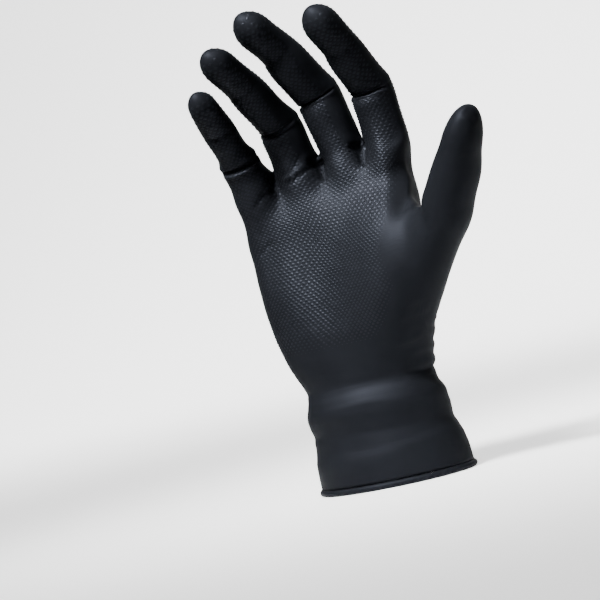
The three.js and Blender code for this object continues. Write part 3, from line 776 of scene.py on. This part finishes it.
yielding = np.array([lowestNear(point) for point in coordinates(inner)])
innerPlaces = coordinates(inner) + normalsOf(inner) * (yielding - film["wall"])[:, None]
inner.vertices.foreach_set("co", innerPlaces.ravel())
outerCount = len(filmMesh.faces)
filmMesh.from_mesh(inner)
filmMesh.faces.ensure_lookup_table()
innerFaces = filmMesh.faces[outerCount:]
for face in innerFaces:
    face.material_index = 1
    for loop in face.loops:
        loop[uvLayer].uv = loop.vert.co.xz * mm
bmesh.ops.reverse_faces(filmMesh, faces=innerFaces)
rim = [edge for edge in filmMesh.edges if edge.is_boundary]
bmesh.ops.bridge_loops(filmMesh, edges=rim)
built = bpy.data.meshes.new("glove_film")
filmMesh.to_mesh(built)
filmMesh.free()
gloveFilm = finish("glove_film", built, filmMaterial, insideMaterial)
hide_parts("glove_shell")
print("film", len(built.polygons), "faces")

# Rolled bead round the cuff opening: a tube grown round its section, ring by ring
bead = {"steps": 14, "radius": 1.5, "outward": 0.15, "ripple": 0.08}
edgeHeight = cuffRings[0][0] * form["cuffLength"]
edgeLoop = [vert for vert in range(len(surface)) if surface[vert, 2] < edgeHeight + 0.05]
edgeLoop.sort(key=lambda vert: math.atan2(surface[vert, 1], surface[vert, 0]))
edgeLoop = edgeLoop[::2]
beadMesh = bmesh.new()
ring = bmesh.ops.create_circle(beadMesh, segments=len(edgeLoop), radius=1, cap_ends=False)["verts"]
for step in range(bead["steps"]):
    turn = 2 * math.pi * step / bead["steps"]
    if step:
        ring, _ = extrudeRing(beadMesh, ring)
    for vert, index in zip(ring, edgeLoop):
        outward = Vector((normals[index, 0], normals[index, 1], 0)).normalized()
        here = Vector(surface[index])
        radius = bead["radius"] + bead["ripple"] * noise.noise(here * 0.35)
        vert.co = here + outward * (bead["outward"] - film["wall"] / 2 + radius * math.cos(turn))
        vert.co.z = bead["radius"] + radius * math.sin(turn)
bmesh.ops.bridge_loops(beadMesh, edges=[edge for edge in beadMesh.edges if edge.is_boundary])
bmesh.ops.recalc_face_normals(beadMesh, faces=beadMesh.faces[:])
uvLayer = beadMesh.loops.layers.uv.new("former")
for face in beadMesh.faces:
    for loop in face.loops:
        loop[uvLayer].uv = loop.vert.co.xz * mm
built = bpy.data.meshes.new("cuff_bead")
beadMesh.to_mesh(built)
beadMesh.free()
finish("cuff_bead", built, filmMaterial)
print("bead", len(built.polygons), "faces")

# Raised grip: small domed diamonds in staggered rows across the former, on the palm and on the back
grip = {"across": 2.5, "up": 1.25, "width": 2.3, "length": 1.75, "height": 0.44, "sink": 0.1,
        "shoulder": 0.72, "point": 0.55, "least": 0.05, "leastSize": 0.4, "sizePower": 0.7,
        "uneven": (0.94, 1.04), "stretch": (0.75, 1.1), "wristUp": 60, "wristFade": 14, "topUp": 240,
        "columns": 30, "thumbStart": 3, "thumbFade": 10, "backHalf": 38, "ulnarEdge": -40.5,
        "ulnarFlare": 0.1, "flareUp": 90, "ulnarFade": 2, "sideFade": 5, "fingerReach": 16,
        "fingerSide": 1.4, "upperShare": 0.9, "tipBare": 5.5,
        "boundUp": (60, 68, 75, 87, 103, 124, 150), "bound": (15, 19, 24, 31, 28.5, 35, 39)}


def diamond():
    # one diamond of unit width, length and height: eight sides, a shoulder and a crown
    bm = bmesh.new()
    bmesh.ops.create_circle(bm, segments=8, radius=0.5, cap_ends=True)
    bmesh.ops.inset_region(bm, faces=bm.faces[:], thickness=0.17, depth=0)
    bmesh.ops.poke(bm, faces=[max(bm.faces, key=lambda face: len(face.verts))])
    for vert in bm.verts:
        reach = math.hypot(vert.co.x, vert.co.y) * 2
        vert.co.z = 1 if reach < 0.01 else grip["shoulder"] if reach < 0.9 else 0
        vert.co.xy *= grip["point"] / max(abs(vert.co.x) + abs(vert.co.y), grip["point"])
    mesh = bpy.data.meshes.new("diamond")
    bm.to_mesh(mesh)
    bm.free()
    return mesh


def gripBound(x, z):
    # where the grip ends toward the thumb on the palm, at that height
    return np.interp(z, grip["boundUp"], grip["bound"]) - x


def gripShare(stall, offset, spotUp, place, spot):
    # how much of the full diamond stands here: 1 inside, fading to 0 at the edges of the texture
    x, _, z = spot
    if stall == 0:
        wristward = (z - grip["wristUp"]) / grip["wristFade"]
        palmSide = (gripBound(x, z) + grip["thumbStart"]) / grip["thumbFade"]
        side = palmSide if place > 0 else (grip["backHalf"] - abs(x)) / grip["sideFade"]
        flare = grip["ulnarFlare"] * max(0, grip["flareUp"] - z)
        ulnar = (x - grip["ulnarEdge"] + flare) / grip["ulnarFade"]
        return float(smooth(wristward) * smooth(side) * smooth(ulnar))
    root = roots[stall - 1]
    radius = root["finger"]["girths"]["first"] * form["fingerWidth"] / 2
    side = (grip["fingerSide"] * radius - abs(offset)) / grip["sideFade"]
    upper = spotUp > root["path"]["rootUp"] + root["path"]["joints"][1]
    return float(smooth(side)) * (grip["upperShare"] if upper else 1)


def sheetTree(stall, place):
    # the faces of one stall on one side, lying flat, to look a place of the former up on
    chosen = np.nonzero((stalls == stall) & (facing[quads].mean(1) * place > 0.05))[0]
    lying = np.column_stack([across, up, np.zeros(len(across))])
    return chosen, BVHTree.FromPolygons([Vector(point) for point in lying], quads[chosen].tolist())


def gripSite(stall, place, corners, spotAcross, spotUp):
    # where a diamond stands on the worn film, as a matrix, or nothing where the texture has ended
    lying = np.column_stack([flat[corners, :2], np.ones(4)])
    fit, *_ = np.linalg.lstsq(lying, sculpted[corners], rcond=None)
    spot = np.array([spotAcross, spotUp, 1]) @ fit
    outward = normals[corners].mean(0)
    outward /= np.linalg.norm(outward)
    offset = 0
    if stall:
        root = roots[stall - 1]
        offset = spotAcross - root["flatMiddle"]
        if spotUp > root["path"]["rootUp"] + root["path"]["total"] - grip["tipBare"]:
            return None
    share = gripShare(stall, offset, spotUp, place, spot)
    if share < grip["least"]:
        return None
    wideSize, tallSize = np.clip(np.linalg.norm(fit[:2], axis=1), *grip["stretch"])
    wide = fit[0] - outward * (fit[0] @ outward)
    wide /= np.linalg.norm(wide)
    tall = np.cross(outward, wide)
    if tall @ fit[1] < 0:
        tall = -tall
    grown = grip["leastSize"] + (1 - grip["leastSize"]) * share ** grip["sizePower"]
    scale = grown * random.uniform(*grip["uneven"])
    site = np.eye(4)
    site[:3] = np.column_stack([
        wide * grip["width"] * wideSize * scale, tall * grip["length"] * tallSize * scale,
        outward * grip["height"] * share, spot - outward * grip["sink"]])
    return Matrix(site)


def gripPiece(name, place):
    bm = bmesh.new()
    sites = 0
    trees = [(stall, *sheetTree(stall, place)) for stall in range(len(roots) + 1)]
    for row in range(int(grip["wristUp"] / grip["up"]), int(grip["topUp"] / grip["up"])):
        for column in range(-grip["columns"], grip["columns"] + 1):
            spotAcross = (column + 0.5 * (row % 2)) * grip["across"]
            spotUp = row * grip["up"]
            for stall, chosen, tree in trees:
                if stall and abs(spotAcross - roots[stall - 1]["flatMiddle"]) > grip["fingerReach"]:
                    continue
                index = tree.ray_cast(Vector((spotAcross, spotUp, 5)), Vector((0, 0, -1)))[2]
                if index is None:
                    continue
                site = gripSite(stall, place, quads[chosen[index]], spotAcross, spotUp)
                if site is not None:
                    single = shape.copy()
                    single.transform(site)
                    bm.from_mesh(single)
                    bpy.data.meshes.remove(single)
                    sites += 1
                    break
    bmesh.ops.recalc_face_normals(bm, faces=bm.faces[:])
    mesh = bpy.data.meshes.new(name)
    bm.to_mesh(mesh)
    bm.free()
    mesh.uv_layers.new(name="former")
    print(name, sites, "diamonds", len(mesh.polygons), "faces")
    finish(name, mesh, gripMaterial)


shape = diamond()
gripPiece("grip_texture_palm", 1)
gripPiece("grip_texture_back", -1)
bpy.data.meshes.remove(shape)

# Camera: level, turned and rolled as the photograph was taken
view = {"azimuth": 22.5, "distance": 1000, "aim": (-23.8, -9.9, 89.4), "frame": 270.9, "roll": 12.7}
azimuth, roll = math.radians(view["azimuth"]), math.radians(view["roll"])
rightward = Vector((math.cos(azimuth), math.sin(azimuth), 0))
backward = Vector((math.sin(azimuth), -math.cos(azimuth), 0))
upward = Vector((0, 0, 1))
cameraRight = rightward * math.cos(roll) - upward * math.sin(roll)
cameraUp = rightward * math.sin(roll) + upward * math.cos(roll)
camera = bpy.data.objects.new("camera", bpy.data.cameras.new("camera"))
camera.data.sensor_width = 36
camera.data.lens = 36 * view["distance"] / view["frame"]
camera.matrix_world = Matrix.Translation((Vector(view["aim"]) + backward * view["distance"]) * mm) @ Matrix(
    (cameraRight, cameraUp, backward)).transposed().to_4x4()
bpy.context.scene.collection.objects.link(camera)
bpy.context.scene.camera = camera

# Floor and backdrop in one sweep, in metres: the sheet runs along the floor, round a bend and up
studio = {"breadth": 18, "back": 1.5, "floor": 4, "floorStretch": 2.5, "bend": 3, "wall": 2,
          "paper": 0.7, "glow": 1.5, "air": 0.03, "airSeen": 1.6}
bendRadius = studio["bend"] * 2 / math.pi
sweep = bmesh.new()
bmesh.ops.create_grid(sweep, x_segments=1, y_segments=48, size=1)
for vert in sweep.verts:
    run = (vert.co.y + 1) / 2 * (studio["floor"] + studio["bend"] + studio["wall"])
    turn = min(max((run - studio["floor"]) / studio["bend"], 0), 1) * math.pi / 2
    ahead = studio["floorStretch"] * max(0, studio["floor"] - run)
    above = max(0, run - studio["floor"] - studio["bend"])
    vert.co = Vector((vert.co.x * studio["breadth"] / 2,
                      studio["back"] - ahead + bendRadius * math.sin(turn),
                      bendRadius * (1 - math.cos(turn)) + above))
floorMesh = bpy.data.meshes.new("floor")
sweep.to_mesh(floorMesh)
sweep.free()
floorMesh.shade_smooth()
pale = bpy.data.materials.new("floor_pale")
pale.use_nodes = True
paper = pale.node_tree.nodes["Principled BSDF"]
paper.inputs["Base Color"].default_value = (studio["paper"], studio["paper"], studio["paper"], 1)
paper.inputs["Roughness"].default_value = 0.9
paper.inputs["Emission Color"].default_value = (1, 1, 1, 1)


def cameraGlow(tree, socket, plain, seen):
    # the studio stays as pale as its paper where the camera sees it, and dim where the film mirrors it
    path = tree.nodes.new("ShaderNodeLightPath")
    glow = tree.nodes.new("ShaderNodeMath")
    glow.operation = "MULTIPLY_ADD"
    glow.inputs[1].default_value, glow.inputs[2].default_value = seen - plain, plain
    joined(tree, [(path.outputs["Is Camera Ray"], glow.inputs[0]), (glow.outputs[0], socket)])


cameraGlow(pale.node_tree, paper.inputs["Emission Strength"], 0, studio["glow"])
floorMesh.materials.append(pale)
floor = bpy.data.objects.new("floor", floorMesh)
bpy.context.scene.collection.objects.link(floor)

# Soft studio light
world = bpy.data.worlds.new("studio")
world.use_nodes = True
air = world.node_tree.nodes["Background"]
air.inputs["Color"].default_value = (1, 1, 1, 1)
cameraGlow(world.node_tree, air.inputs["Strength"], studio["air"], studio["airSeen"])
bpy.context.scene.world = world
lights = [
    {"name": "key", "place": (-0.2, -0.62, 1.0), "aim": (0.02, -0.01, 0.19), "size": 0.42, "power": 2.9,
     "spread": 26},
    {"name": "rim", "place": (0.55, 0.5, 0.95), "aim": (0, -0.01, 0.12), "size": 0.4, "power": 0.08,
     "spread": 50},
    {"name": "backdrop", "place": (-0.4, 0.9, 1.9), "aim": (-0.7, 2.2, 0.4), "size": 1.2, "power": 90,
     "spread": 120},
]
for light in lights:
    lamp = bpy.data.lights.new(light["name"], "AREA")
    lamp.size, lamp.energy = light["size"], light["power"]
    lamp.spread = math.radians(light["spread"])
    holder = bpy.data.objects.new(light["name"], lamp)
    holder.location = light["place"]
    aimAt = Vector(light["aim"]) - holder.location
    holder.rotation_euler = aimAt.to_track_quat("-Z", "Y").to_euler()
    bpy.context.scene.collection.objects.link(holder)
